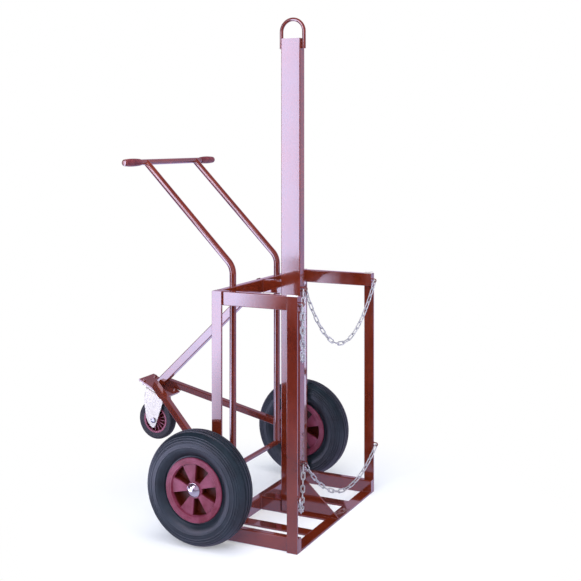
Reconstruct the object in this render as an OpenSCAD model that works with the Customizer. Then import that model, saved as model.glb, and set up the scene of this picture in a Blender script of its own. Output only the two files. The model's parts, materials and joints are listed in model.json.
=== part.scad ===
// Hand trolley with two bays: a box frame round a tall lifting mast, a bent handle, two large wheels
// and a swivel castor that meets the floor when the trolley is tilted back.
// The origin is on the floor under the mast. The load goes in from -Y, the handle is at +Y, +Z is up.

/* [Frame] */
// Width over the corner posts
frame_w = 712; // [600:1:900]
// Depth over the corner posts
frame_d = 336; // [310:1:440]
// Height of the corner posts
post_h = 876; // [760:1:1000]
// Mast axis behind the front of the frame
mast_setback = 190; // [160:1:210]
// Thickness of the flat-bar posts, across the trolley
post_w = 8; // [6:0.5:12]
// Width of the flat-bar posts, front to back
post_d = 40; // [30:1:50]
// Height of the rail section
rail_h = 50; // [40:1:60]
// Width of the rail section
rail_w = 25; // [20:1:30]
// Wall of the rails
tube_wall = 2.5; // [1.5:0.1:4]
// Thickness of the plates that close tube ends
cap_t = 2; // [1:0.5:4]
// Thickness of the caps on the front posts
post_cap_t = 4; // [2:0.5:8]

/* [Floor] */
// Thickness of the flat floor bars
bar_t = 6; // [4:0.5:10]
// Width of a floor bar
bar_w = 50; // [30:1:70]
// Width of the front sill
sill_w = 42; // [30:1:60]
// Floor bar to the left or right of the mast
bar_x = 165; // [120:1:200]
// Width of the tie between mast and rear base rail
base_tie_w = 50; // [30:1:60]

/* [Mast] */
// Height of the mast, with its cap
mast_h = 1793; // [1400:1:2000]
// Mast section front to back
mast_d = 80; // [60:1:100]
// Mast section across
mast_w = 40; // [30:1:60]
// Wall of the mast
mast_wall = 3; // [2:0.5:5]
// Diameter of the lifting eye's bar
eye_bar = 14; // [10:1:20]
// Length of eye leg that is welded to the mast
eye_weld = 38; // [25:1:60]
// Straight part of the eye above the mast
eye_rise = 26; // [15:1:60]
// Thickness of the gusset plate
gusset_t = 6; // [4:1:10]
// Height of the gusset at the mast
gusset_h = 137; // [80:1:160]
// Distance of the gusset's toe from the front of the frame
gusset_toe = 3; // [0:1:30]

/* [Wheels] */
// Diameter of the large tyres
tyre_dia = 400; // [300:1:450]
// Width of the large tyres
tyre_w = 106; // [70:1:110]
// Diameter of the tyre's bead seat
bead_dia = 203; // [160:1:240]
// Diameter of the rim flange
flange_dia = 226; // [214:1:260]
// Width over the rim flanges
rim_w = 84; // [60:1:90]
// Outer diameter of the five pockets
pocket_dia = 176; // [140:1:190]
// Diameter of the hub barrel
hub_dia = 56; // [46:1:70]
// Length of the hub barrel
hub_len = 70; // [50:1:80]
// Gap between a post and the tyre beside it
tyre_gap = 14; // [12:1:60]
// Diameter of the axle
axle_dia = 20; // [16:1:25]
// Diameter of the hub cap
cap_dia = 50; // [40:1:54]
// Height of the hub cap's dome
cap_rise = 12; // [8:1:18]

/* [Handle] */
// Diameter of the handle tubes
handle_dia = 25; // [20:1:32]
// Wall of the handle tubes and the cross bar
handle_wall = 2; // [1.5:0.1:3]
// Each handle tube to the left or right of the mast
handle_x = 180; // [120:1:220]
// Height of the cross bar's axis
handle_z = 1324; // [1180:1:1400]
// Distance of the cross bar behind the handle tubes
handle_reach = 383; // [250:1:420]
// Backward slope of the upper handle from upright
handle_lean = 45; // [40:1:50]
// Bend radius on the tube's axis
handle_bend = 65; // [45:1:80]
// Diameter of the cross bar
grip_bar_dia = 22; // [18:1:26]
// Length of the cross bar
grip_bar_len = 646; // [560:1:700]
// Length of a grip
grip_len = 100; // [80:1:140]
// Thickness of the grip at its middle
grip_wall = 4; // [3:0.5:6]
// How far the grip swells from its ends to its middle
grip_bulge = 2.4; // [1:0.1:2.8]

/* [Castor frame] */
// Slope of the castor arms
castor_tilt = 25.2; // [20:0.1:30]
// Section of the arms
arm_s = 25; // [20:1:30]
// Section of the brace
brace_s = 32; // [25:1:35]
// Each arm to the left or right of the mast at the axle
arm_x = 318; // [240:1:320]
// Each arm to the left or right of the mast at its plate end
arm_end_x = 38; // [34:1:42]
// Distance of the castor's swivel axis from the axle, along the arms
castor_run = 493; // [420:1:560]
// Length of the mounting plate along the arms
plate_len = 140; // [136:1:180]
// Width of the mounting plate
plate_w = 106; // [104:1:140]
// Thickness of the mounting plate
plate_t = 6; // [4:0.5:10]

/* [Castor] */
// Diameter of the castor tyre
castor_dia = 160; // [140:1:170]
// Width of the castor tyre
castor_w = 40; // [30:1:44]
// Diameter of the castor wheel's moulded centre
castor_core_dia = 106; // [90:1:120]
// Height of the castor under the mounting plate
castor_h = 200; // [190:1:230]
// Trail of the wheel axis from the swivel axis
castor_trail = 50; // [30:1:55]
// Thickness of the castor's own plate and fork
castor_steel = 4; // [3:0.5:5]
// Bolt spacing across the castor plate
bolt_x = 80; // [76:1:84]
// Bolt spacing along the castor plate
bolt_y = 105; // [95:1:112]
// Diameter of the castor bolts
bolt_dia = 8; // [6:1:10]
// Diameter of the swivel balls
ball_dia = 10; // [8:1:12]
// Number of radial ribs on each side of the castor wheel
castor_ribs = 16; // [8:1:20]

/* [Chains] */
// Wire diameter of a chain link
link_wire = 4.5; // [3:0.5:5]
// Inner width of a chain link
link_in = 8; // [7:0.5:10]
// Distance from link to link
link_pitch = 28.8; // [26:0.1:32]
// Number of links in an upper chain
upper_links = 21; // [19:2:25]
// Number of links in the lower left chain
lower_left_links = 15; // [15:2:17]
// Number of links in the lower right chain
lower_right_links = 17; // [15:2:17]
// Height of the upper chain eyes
upper_eye_z = 848; // [700:1:865]
// Height of the lower chain eyes
lower_eye_z = 190; // [180:1:260]
// Wire diameter of a chain eye
eye_wire = 4.5; // [4:0.5:6]
// Distance of a hanging chain in front of the face that its eye is welded to
chain_off = 9; // [9:0.5:14]

/* [Fits] */
// Radial clearance of parts that turn
run_gap = 0.06; // [0.02:0.01:0.1]
// End play of parts that turn
end_gap = 0.3; // [0.2:0.05:0.6]
// Seat gap at round welds and pushed-on pieces
seat_gap = 0.1; // [0.05:0.01:0.2]
// Play between two chain links
link_gap = 0.5; // [0.3:0.1:0.8]

/* [Hidden] */
$fn = 64;

paint = [0.45, 0.2, 0.18];
moulded = [0.5, 0.2, 0.25];
rubber = [0.2, 0.22, 0.25];
zinc = [0.8, 0.82, 0.84];
chrome = [0.9, 0.9, 0.9];
nylon = [0.9, 0.9, 0.85];

left = -1;
right = 1;

// Frame
front_y = -mast_setback;
rear_y = front_y + frame_d;
post_x = frame_w / 2 - post_w / 2;
rail_x = frame_w / 2 - post_w - rail_w / 2;
bay_x = rail_x - rail_w / 2;
top_rail_z = post_h - rail_h;
corner_r = 3;
post_edge = 1.5;

// Axle and large wheels
axle_r = axle_dia / 2;
axle_y = rear_y + axle_r;
axle_z = tyre_dia / 2;
wheel_x = frame_w / 2 + tyre_gap + tyre_w / 2;
bush_flange_t = 3;
bush_wall = 4;
bush_len = 24;
hub_end = hub_len / 2 + bush_flange_t;
washer_t = 2;
washer_r = axle_r + 8;
collar_r = axle_r + 6;
collar_gap = 1;
hub_cap_x = wheel_x + hub_end + 2 * end_gap + washer_t;
cap_sheet = 1.5;
cap_sphere = (pow(cap_dia / 2, 2) + pow(cap_rise, 2)) / (2 * cap_rise);
cap_sleeve = 2;
axle_stub = cap_rise / 2;
axle_half = hub_cap_x + axle_stub;
flange_t = 6;
web_t = 8;
spoke_inset = 8;
pockets = 5;
pocket_deg = 180 / pockets;
pocket_start = -32;
pocket_edge = 2;
shoulder_r = 34;
tread_grooves = 4;
tread_pitch = 15;
groove_w = 4;
groove_depth = 4;
sidewall_rings = 3;
ring_step = 13;
ring_r = 2;

// Handle
handle_r = handle_dia / 2;
handle_y = rear_y + handle_r;
handle_foot = axle_z + axle_r / 2;
bend_tangent = handle_bend * tan(handle_lean / 2);
bend_corner_z = handle_z - handle_reach / tan(handle_lean);
grip_bar_y = handle_y + handle_reach;
grip_bar_r = grip_bar_dia / 2;
grip_steps = 10;
plug_lip = 1;
plug_t = 3;
plug_spigot = 12;

// Castor frame, in its own sloping axes: Y runs up the slope from the axle, Z stands square to it
arm_seat = axle_r + seat_gap;
arm_end = castor_run + 4;
arm_start = -8;
arm_yaw = atan2(arm_x - arm_end_x, castor_run);
brace_foot = castor_run + 5;
brace_top_z = top_rail_z + rail_h / 2 + 5;
castor_head_z = arm_seat - plate_t;
bolt_r = bolt_dia / 2;
bolt_play = 0.5;
bolt_hole_r = bolt_r + bolt_play;
hex_ratio = 0.92;
bolt_head_r = bolt_dia * hex_ratio;
bolt_head_t = 5.5;
nut_t = 6.5;
castor_nut_t = 8.5;
nut_bore_r = bolt_r + run_gap;
bolt_tail = 2;

// Castor, in the same sloping axes from the middle of the mounting plate's underside
top_plate_len = plate_len - 4;
top_plate_w = plate_w - 2;
crown_z = -castor_steel - ball_dia - 2 * run_gap;
fork_in = castor_w / 2 + 8;
wheel_drop = castor_h - castor_dia / 2;
fork_back = 38;
fork_front = 34;
kingpin_r = 6;
kingpin_head_r = 11;
kingpin_head_t = 8;
ball_ring_r = 24;
ball_count = 14;
dust_ring_in = 31;
dust_ring_t = 3;
castor_axle_r = 6;
castor_axle_head_r = 2 * castor_axle_r * hex_ratio;
castor_bush_wall = 2.5;
castor_hub_r = 17;
castor_hub_len = castor_w + 6;
castor_rim_t = 7;
castor_web_t = 6;
castor_rib_t = 3;
castor_rib_w = castor_w - 10;
castor_corner = 8;

// Chain eyes and chains
mast_eye_x = 9;
upper_eye_x = rail_x;
lower_eye_x = post_x;
eye_half = 6;
eye_leg = chain_off + 1;
link_end = link_wire / 2 + link_in / 2;
link_inner = link_pitch + link_gap;
hang_r = (eye_wire + link_gap) / 2;

// Length of a parabola of a given span and sag
function parabola_len(span, sag) =
    let (k = 4 * sag / span)
    sqrt(span * span + 16 * sag * sag) / 2 + span * span / (8 * sag) * ln(k + sqrt(k * k + 1));

// Sag of a chain of a given length, by halving
function chain_sag(span, len, low = 1, high = 600, steps = 40) =
    let (mid = (low + high) / 2)
    steps == 0 ? mid
    : parabola_len(span, mid) < len ? chain_sag(span, len, mid, high, steps - 1)
    : chain_sag(span, len, low, mid, steps - 1);

// Length of the parabola y = a x x from its lowest point to x
function arc_to(a, x) = let (k = 2 * a * x) x * sqrt(1 + k * k) / 2 + ln(k + sqrt(k * k + 1)) / (4 * a);

// Where the parabola has run a given length from its lowest point
function x_at(a, len, low = 0, high = 400, steps = 40) =
    let (mid = (low + high) / 2)
    steps == 0 ? mid
    : arc_to(a, mid) < len ? x_at(a, len, mid, high, steps - 1)
    : x_at(a, len, low, mid, steps - 1);

// Joints between the links, as [along, up] from the middle of the chain's two eye wires
function chain_joints(eye_span, links) =
    let (
        len = links * link_pitch,
        slope = atan(4 * chain_sag(eye_span, len) / eye_span),
        span = eye_span + 2 * hang_r * cos(slope),
        sag = chain_sag(span, len),
        a = 4 * sag / (span * span)
    )
    [for (i = [0 : links])
        let (
            from_mid = i * link_pitch - len / 2,
            x = sign(from_mid) * x_at(a, abs(from_mid))
        )
        [x, hang_r * sin(slope) - sag + a * x * x]
    ];

// Shared shapes

module rounded(a, b, r) {
    square([a - 2 * r, b], center = true);
    square([a, b - 2 * r], center = true);
    for (x = [-1, 1], y = [-1, 1]) translate([x * (a / 2 - r), y * (b / 2 - r)]) circle(r);
}

module box_tube(a, b, len, wall) {
    linear_extrude(len) difference() {
        rounded(a, b, corner_r);
        rounded(a - 2 * wall, b - 2 * wall, corner_r / 2);
    }
}

module round_ring(r, wall) {
    difference() {
        circle(r);
        circle(r - wall);
    }
}

// Turns a shape made along Z so that it runs along +Y or +X
module along_y() rotate([-90, 0, 0]) children();
module along_x() rotate([0, 90, 0]) children();

module post(side, y) {
    color(paint) translate([side * post_x, y, 0]) linear_extrude(post_h) rounded(post_w, post_d, post_edge);
}

module side_rail(side, z) {
    color(paint) translate([side * rail_x, front_y + cap_t, z + rail_h / 2]) along_y()
        box_tube(rail_w, rail_h, frame_d - 2 * cap_t, tube_wall);
}

module rear_rail(z) {
    color(paint) translate([-bay_x, rear_y - rail_w / 2, z + rail_h / 2]) along_x()
        box_tube(rail_h, rail_w, 2 * bay_x, tube_wall);
}

module floor_bar(x, from_y, to_y) {
    color(paint) translate([x - bar_w / 2, from_y, 0]) cube([bar_w, to_y - from_y, bar_t]);
}

// Mast and lifting eye

module mast() {
    color(paint) translate([0, 0, bar_t]) box_tube(mast_w, mast_d, mast_h - bar_t - cap_t, mast_wall);
}

module mast_cap() {
    color(paint) translate([0, 0, mast_h - cap_t]) linear_extrude(cap_t) rounded(mast_w, mast_d, corner_r);
}

module lifting_eye() {
    leg_y = mast_d / 2 + seat_gap + eye_bar / 2;
    color(paint) {
        for (y = [-leg_y, leg_y]) translate([0, y, mast_h - eye_weld])
            cylinder(d = eye_bar, h = eye_weld + eye_rise);
        translate([0, 0, mast_h + eye_rise]) rotate([90, 0, 90])
            rotate_extrude(angle = 180) translate([leg_y, 0]) circle(d = eye_bar);
    }
}

module mast_gusset() {
    back_y = -mast_d / 2;
    toe_y = front_y + gusset_toe;
    toe_h = 4;
    color(paint) translate([-gusset_t / 2, 0, bar_t]) rotate([90, 0, 90]) linear_extrude(gusset_t)
        polygon([[back_y, 0], [back_y, gusset_h], [toe_y, toe_h], [toe_y, 0]]);
}

// Box frame

module front_left_post() post(left, front_y + post_d / 2);
module front_right_post() post(right, front_y + post_d / 2);
module rear_left_post() post(left, rear_y - post_d / 2);
module rear_right_post() post(right, rear_y - post_d / 2);

module post_caps() {
    color(nylon) for (side = [left, right]) translate([side * post_x, front_y + post_d / 2, post_h])
        linear_extrude(post_cap_t) rounded(post_w, post_d, post_edge);
}

module left_top_rail() side_rail(left, top_rail_z);
module right_top_rail() side_rail(right, top_rail_z);
module rear_top_rail() rear_rail(top_rail_z);
module left_base_rail() side_rail(left, 0);
module right_base_rail() side_rail(right, 0);
module rear_base_rail() rear_rail(0);

module rail_end_caps() {
    color(paint) for (side = [left, right], z = [0, top_rail_z], y = [front_y, rear_y - cap_t])
        translate([side * rail_x, y, z + rail_h / 2]) along_y()
            linear_extrude(cap_t) rounded(rail_w, rail_h, corner_r);
}

module top_tie() {
    color(paint) translate([0, mast_d / 2, top_rail_z + rail_h / 2]) along_y()
        box_tube(rail_w, rail_h, rear_y - rail_w - mast_d / 2, tube_wall);
}

module base_tie() {
    color(paint) translate([0, mast_d / 2, rail_h / 2]) along_y()
        box_tube(base_tie_w, rail_h, rear_y - rail_w - mast_d / 2, tube_wall);
}

module front_sill() {
    color(paint) translate([-bay_x, front_y, 0]) cube([2 * bay_x, sill_w, bar_t]);
}

module left_floor_bar() floor_bar(-bar_x, front_y + sill_w, rear_y - rail_w);
module centre_floor_bar() floor_bar(0, front_y + sill_w, mast_d / 2);
module right_floor_bar() floor_bar(bar_x, front_y + sill_w, rear_y - rail_w);

// Axle and what sits on it

module on_axle(x) translate([x, axle_y, axle_z]) along_x() children();

// Both ends of the axle, seen outwards along the axle
module each_end() {
    on_axle(0) children();
    mirror([1, 0, 0]) on_axle(0) children();
}

module axle() {
    color(paint) on_axle(-axle_half) cylinder(r = axle_r, h = 2 * axle_half);
}

module axle_ring(from, to, r, bore_r) {
    translate([0, 0, from]) difference() {
        cylinder(r = r, h = to - from);
        translate([0, 0, -1]) cylinder(r = bore_r, h = to - from + 2);
    }
}

module axle_collars() {
    color(paint) each_end() axle_ring(
        frame_w / 2 + collar_gap, wheel_x - hub_end - 2 * end_gap - washer_t, collar_r, axle_r + run_gap);
}

module axle_washers() {
    inner = wheel_x - hub_end - end_gap - washer_t;
    outer = wheel_x + hub_end + end_gap;
    color(zinc) each_end() for (x = [inner, outer]) axle_ring(x, x + washer_t, washer_r, axle_r + run_gap);
}

module hub_caps() {
    color(chrome) each_end() translate([0, 0, hub_cap_x]) rotate_extrude() {
        intersection() {
            translate([0, cap_rise - cap_sphere]) difference() {
                circle(cap_sphere);
                circle(cap_sphere - cap_sheet);
            }
            square([cap_dia, cap_rise + 1]);
        }
        difference() {
            translate([axle_r + run_gap, 0]) square([cap_sleeve, cap_rise]);
            translate([0, cap_rise - cap_sphere]) difference() {
                circle(2 * cap_sphere);
                circle(cap_sphere - cap_sheet / 2);
            }
        }
    }
}

// Large wheels, made along Z round the wheel's middle plane

module tyre_section() {
    inner = bead_dia / 2 + seat_gap;
    outer = tyre_dia / 2;
    seat_w = rim_w - 2 * flange_t - 2 * seat_gap;
    flange_r = flange_dia / 2 + seat_gap;
    difference() {
        union() {
            translate([inner, -seat_w / 2]) square([outer - inner - shoulder_r, seat_w]);
            translate([(flange_r + outer) / 2, 0]) rounded(outer - flange_r, tyre_w, shoulder_r);
            for (i = [0 : sidewall_rings - 1], u = [-1, 1])
                translate([outer - shoulder_r - i * ring_step, u * (tyre_w / 2 - ring_r / 2)])
                    circle(ring_r);
        }
        for (i = [0 : tread_grooves - 1])
            translate([outer - groove_depth, (i - (tread_grooves - 1) / 2) * tread_pitch - groove_w / 2])
                square([2 * groove_depth, groove_w]);
    }
}

module tyre() {
    color(rubber) intersection() {
        rotate_extrude() tyre_section();
        translate([0, 0, -tyre_w / 2]) cylinder(d = tyre_dia, h = tyre_w);
    }
}

module wheel_centre() {
    spoke_w = rim_w - 2 * spoke_inset;
    pocket_depth = (spoke_w - web_t) / 2;
    pocket_in = hub_dia / 2 + pocket_edge;
    pocket_out = pocket_dia / 2;
    ring_in = pocket_out + pocket_edge;
    bore_r = axle_r + run_gap + bush_wall + seat_gap;
    color(moulded) difference() {
        rotate_extrude() {
            translate([bore_r, -hub_len / 2]) square([hub_dia / 2 - bore_r, hub_len]);
            translate([bore_r, -spoke_w / 2]) square([bead_dia / 2 - bore_r, spoke_w]);
            translate([ring_in, -rim_w / 2]) square([bead_dia / 2 - ring_in, rim_w]);
            for (u = [-rim_w / 2, rim_w / 2 - flange_t])
                translate([ring_in, u]) square([flange_dia / 2 - ring_in, flange_t]);
        }
        for (i = [0 : pockets - 1], u = [web_t / 2, -web_t / 2 - 2 * pocket_depth])
            translate([0, 0, u]) rotate([0, 0, pocket_start + i * 360 / pockets])
                rotate_extrude(angle = pocket_deg) translate([pocket_in, 0])
                    square([pocket_out - pocket_in, 2 * pocket_depth]);
    }
}

module wheel_bushes() {
    bore_r = axle_r + run_gap;
    color(nylon) for (turn = [0, 180]) rotate([turn, 0, 0]) {
        axle_ring(hub_len / 2 - bush_len, hub_len / 2, bore_r + bush_wall, bore_r);
        axle_ring(hub_len / 2, hub_end, bore_r + 2 * bush_wall, bore_r);
    }
}

module left_tyre() on_axle(-wheel_x) tyre();
module right_tyre() on_axle(wheel_x) tyre();
module left_wheel_centre() mirror([1, 0, 0]) on_axle(wheel_x) wheel_centre();
module right_wheel_centre() on_axle(wheel_x) wheel_centre();
module left_wheel_bushes() on_axle(-wheel_x) wheel_bushes();
module right_wheel_bushes() on_axle(wheel_x) wheel_bushes();

// Handle

// The tube's path as a solid of radius r, from its foot to its top
module handle_path(r, over = 0) {
    foot_len = bend_corner_z - bend_tangent - handle_foot;
    top_len = norm([handle_reach, handle_z - bend_corner_z]) - bend_tangent;
    translate([0, handle_y + handle_bend, handle_foot + foot_len]) rotate([90, 0, -90]) {
        translate([handle_bend, 0, 0]) rotate([90, 0, 0]) cylinder(r = r, h = foot_len + over);
        rotate_extrude(angle = handle_lean) translate([handle_bend, 0]) circle(r);
        rotate([0, 0, handle_lean]) translate([handle_bend, 0, 0]) along_y()
            cylinder(r = r, h = top_len + over);
    }
}

module handle_tube(side) {
    color(paint) translate([side * handle_x, 0, 0]) difference() {
        handle_path(handle_r);
        handle_path(handle_r - handle_wall, handle_r);
        translate([-handle_dia, axle_y, axle_z]) along_x()
            cylinder(r = axle_r + seat_gap, h = 2 * handle_dia);
        translate([-handle_dia, grip_bar_y, handle_z]) along_x()
            cylinder(r = grip_bar_r + seat_gap, h = 2 * handle_dia);
    }
}

module left_handle_tube() handle_tube(left);
module right_handle_tube() handle_tube(right);

module on_grip_bar() {
    translate([0, grip_bar_y, handle_z]) along_x() children();
}

module handle_bar() {
    color(paint) on_grip_bar() translate([0, 0, -grip_bar_len / 2])
        linear_extrude(grip_bar_len) round_ring(grip_bar_r, handle_wall);
}

module handle_grips() {
    inner = grip_bar_r + seat_gap;
    swell = [for (i = [-grip_steps : grip_steps])
        [inner + grip_wall - grip_bulge * pow(i / grip_steps, 2), grip_len / 2 * (1 + i / grip_steps)]];
    color(moulded) for (turn = [0, 180]) on_grip_bar() rotate([turn, 0, 0])
        translate([0, 0, grip_bar_len / 2 - grip_len]) rotate_extrude()
            polygon(concat(swell, [[inner, grip_len], [inner, 0]]));
}

module handle_end_plugs() {
    color(paint) for (turn = [0, 180])
        on_grip_bar() rotate([turn, 0, 0]) translate([0, 0, grip_bar_len / 2]) {
            cylinder(r = grip_bar_r + seat_gap + plug_lip, h = plug_t);
            translate([0, 0, -plug_spigot])
                cylinder(r = grip_bar_r - handle_wall - seat_gap, h = plug_spigot);
        }
}

// Castor frame

module on_slope() translate([0, axle_y, axle_z]) rotate([castor_tilt, 0, 0]) children();

module castor_arm(side) {
    arm_len = norm([arm_x - arm_end_x, castor_run]);
    spare = 2 * arm_s;
    color(paint) on_slope() intersection() {
        translate([side * arm_x, 0, arm_seat + arm_s / 2]) rotate([0, 0, side * arm_yaw])
            translate([0, -spare, 0]) along_y() box_tube(arm_s, arm_s, arm_len + 2 * spare, tube_wall);
        translate([-frame_w, arm_start, 0]) cube([2 * frame_w, arm_end - arm_start, 4 * arm_s]);
    }
}

module left_castor_arm() castor_arm(left);
module right_castor_arm() castor_arm(right);

module bolt_places() {
    for (x = [-1, 1], y = [-1, 1]) translate([x * bolt_x / 2, y * bolt_y / 2, 0]) children();
}

module on_castor() on_slope() translate([0, castor_run, castor_head_z]) children();

module castor_mount_plate() {
    color(paint) on_castor() difference() {
        translate([-plate_w / 2, -plate_len / 2, 0]) cube([plate_w, plate_len, plate_t]);
        bolt_places() translate([0, 0, -1]) cylinder(r = bolt_hole_r, h = plate_t + 2);
    }
}

module castor_brace() {
    foot_y = axle_y + brace_foot * cos(castor_tilt) - arm_seat * sin(castor_tilt);
    foot_z = axle_z + brace_foot * sin(castor_tilt) + arm_seat * cos(castor_tilt);
    lean = atan2(foot_y - rear_y, brace_top_z - foot_z);
    len = norm([foot_y - rear_y, brace_top_z - foot_z]);
    spare = 3 * brace_s;
    color(paint) difference() {
        translate([0, foot_y, foot_z]) rotate([lean, 0, 0]) translate([0, 0, -spare])
            box_tube(brace_s, brace_s, len + 2 * spare, tube_wall);
        translate([-frame_w / 2, rear_y - frame_d, 0]) cube([frame_w, frame_d, 2 * post_h]);
        on_slope() translate([-frame_w / 2, 0, arm_seat - frame_d]) cube([frame_w, 2 * castor_run, frame_d]);
    }
}

// Castor

module castor_top_plate() {
    color(zinc) on_castor() translate([0, 0, -castor_steel]) difference() {
        linear_extrude(castor_steel) rounded(top_plate_w, top_plate_len, 2 * castor_steel);
        bolt_places() translate([0, 0, -1]) cylinder(r = bolt_hole_r, h = castor_steel + 2);
        translate([0, 0, -1]) cylinder(r = kingpin_r + run_gap, h = castor_steel + 2);
    }
}

module castor_bolts() {
    shank = plate_t + castor_steel + nut_t + bolt_tail;
    color(zinc) on_castor() bolt_places() {
        translate([0, 0, plate_t - shank]) cylinder(r = bolt_r, h = shank);
        translate([0, 0, plate_t]) cylinder(r = bolt_head_r, h = bolt_head_t, $fn = 6);
    }
}

module hex_nut(r, h, bore_r) {
    difference() {
        cylinder(r = r, h = h, $fn = 6);
        translate([0, 0, -1]) cylinder(r = bore_r, h = h + 2);
    }
}

module castor_nuts() {
    color(zinc) on_castor() bolt_places() translate([0, 0, -castor_steel - nut_t])
        hex_nut(bolt_head_r, nut_t, nut_bore_r);
}

module castor_kingpin() {
    head_z = crown_z - castor_steel - end_gap - kingpin_head_t;
    color(zinc) on_castor() {
        translate([0, 0, head_z]) cylinder(r = kingpin_r, h = -head_z);
        translate([0, 0, head_z]) cylinder(r = kingpin_head_r, h = kingpin_head_t, $fn = 6);
    }
}

module castor_dust_ring() {
    color(rubber) on_castor() axle_ring(
        crown_z + 2 * end_gap, -castor_steel, dust_ring_in + dust_ring_t, dust_ring_in);
}

module castor_swivel_balls() {
    color(chrome) on_castor() for (i = [0 : ball_count - 1]) rotate([0, 0, i * 360 / ball_count])
        translate([ball_ring_r, 0, (crown_z - castor_steel) / 2]) sphere(d = ball_dia);
}

// Fork leg outline: Y along the slope, Z down from the mounting plate
fork_leg = [
    [fork_back, crown_z],
    [-fork_front, crown_z],
    [-castor_trail - 8, crown_z - 20],
    [-castor_trail - 20, -wheel_drop - 12],
    [-castor_trail - 14, -wheel_drop - 29],
    [-castor_trail + 6, -wheel_drop - 28],
    [-castor_trail + 32, -wheel_drop - 13],
    [fork_back - 17, crown_z - 62]
];

module on_castor_axle() on_castor() translate([0, -castor_trail, -wheel_drop]) along_x() children();

module castor_fork() {
    color(zinc) difference() {
        on_castor() {
            for (x = [-fork_in - castor_steel, fork_in]) translate([x, 0, 0]) rotate([90, 0, 90])
                linear_extrude(castor_steel) polygon(fork_leg);
            translate([-fork_in - castor_steel, -fork_front, crown_z - castor_steel])
                cube([2 * (fork_in + castor_steel), fork_front + fork_back, castor_steel]);
        }
        on_castor() translate([0, 0, crown_z - 2 * castor_steel])
            cylinder(r = kingpin_r + run_gap, h = 4 * castor_steel);
        on_castor_axle() translate([0, 0, -castor_dia])
            cylinder(r = castor_axle_r + run_gap, h = 2 * castor_dia);
    }
}

module castor_axle_bolt() {
    head = fork_in + castor_steel;
    tail = head + castor_axle_r * 2;
    color(zinc) on_castor_axle() {
        translate([0, 0, -head]) cylinder(r = castor_axle_r, h = head + tail);
        translate([0, 0, -head - bolt_head_t]) cylinder(r = castor_axle_head_r, h = bolt_head_t, $fn = 6);
    }
}

module castor_axle_nut() {
    color(zinc) on_castor_axle() translate([0, 0, fork_in + castor_steel])
        hex_nut(castor_axle_head_r, castor_nut_t, castor_axle_r + run_gap);
}

module castor_tyre() {
    inner = castor_core_dia / 2 + seat_gap;
    outer = castor_dia / 2;
    color(rubber) on_castor_axle() rotate_extrude() {
        translate([inner, -castor_w / 2 + 2]) square([outer - inner - castor_corner, castor_w - 4]);
        translate([(inner + outer) / 2 + 2, 0]) rounded(outer - inner - 4, castor_w, castor_corner);
    }
}

module castor_wheel_centre() {
    rim_in = castor_core_dia / 2 - castor_rim_t;
    core_w = castor_w - 2;
    bore_r = castor_axle_r + run_gap + castor_bush_wall + seat_gap;
    color(moulded) on_castor_axle() difference() {
        union() {
            translate([0, 0, -castor_hub_len / 2]) cylinder(r = castor_hub_r, h = castor_hub_len);
            translate([0, 0, -castor_web_t / 2]) cylinder(r = rim_in + 1, h = castor_web_t);
            axle_ring(-core_w / 2, core_w / 2, castor_core_dia / 2, rim_in);
            for (i = [0 : castor_ribs - 1]) rotate([0, 0, i * 360 / castor_ribs])
                translate([castor_hub_r - 1, -castor_rib_t / 2, -castor_rib_w / 2])
                    cube([rim_in - castor_hub_r + 2, castor_rib_t, castor_rib_w]);
        }
        translate([0, 0, -castor_w]) cylinder(r = bore_r, h = 2 * castor_w);
    }
}

module castor_wheel_bush() {
    bore_r = castor_axle_r + run_gap;
    color(nylon) on_castor_axle() axle_ring(
        -fork_in + end_gap, fork_in - end_gap, bore_r + castor_bush_wall, bore_r);
}

// Chain eyes and chains

module chain_eye(x, face_y, z) {
    translate([x, face_y, z]) {
        for (leg_z = [-eye_half, eye_half]) translate([0, 0, leg_z]) rotate([90, 0, 0])
            cylinder(d = eye_wire, h = eye_leg);
        translate([0, -eye_leg, 0]) rotate([90, 90, 90]) rotate([0, 0, 180]) rotate_extrude(angle = 180)
            translate([eye_half, 0]) circle(d = eye_wire);
    }
}

module mast_chain_eyes() {
    color(paint) for (side = [left, right], z = [lower_eye_z, upper_eye_z])
        chain_eye(side * mast_eye_x, -mast_d / 2, z);
}

module post_chain_eyes() {
    color(paint) for (side = [left, right]) {
        chain_eye(side * upper_eye_x, front_y, upper_eye_z);
        chain_eye(side * lower_eye_x, front_y, lower_eye_z);
    }
}

// A link in the XY plane, long way along X
module chain_link() {
    bar = link_inner / 2 - link_in / 2;
    for (y = [-link_end, link_end]) translate([-bar, y, 0]) along_x() cylinder(d = link_wire, h = 2 * bar);
    for (turn = [0, 180]) rotate([0, 0, turn]) translate([bar, 0, 0]) rotate([0, 0, -90])
        rotate_extrude(angle = 180) translate([link_end, 0]) circle(d = link_wire);
}

// Links first to last of a right-hand chain; every second link stands across the chain's plane
module chain_links(eye_x, z, links, first, last, step) {
    eye_to_eye = [eye_x - mast_eye_x, front_y + mast_d / 2];
    middle_y = (front_y - mast_d / 2) / 2 - chain_off;
    joints = chain_joints(norm(eye_to_eye), links);
    color(zinc) translate([(eye_x + mast_eye_x) / 2, middle_y, z - eye_half])
        rotate([0, 0, atan2(eye_to_eye[1], eye_to_eye[0])]) for (i = [first : step : last]) {
            run = joints[i + 1] - joints[i];
            middle = (joints[i + 1] + joints[i]) / 2;
            translate([middle[0], 0, middle[1]]) rotate([0, -atan2(run[1], run[0]), 0])
                rotate([i % 2 == 0 ? 90 : 0, 0, 0]) chain_link();
        }
}

module upper(first, last, step) {
    chain_links(upper_eye_x, upper_eye_z, upper_links, first, last, step);
}

module lower(links, first, last, step) chain_links(lower_eye_x, lower_eye_z, links, first, last, step);

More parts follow.
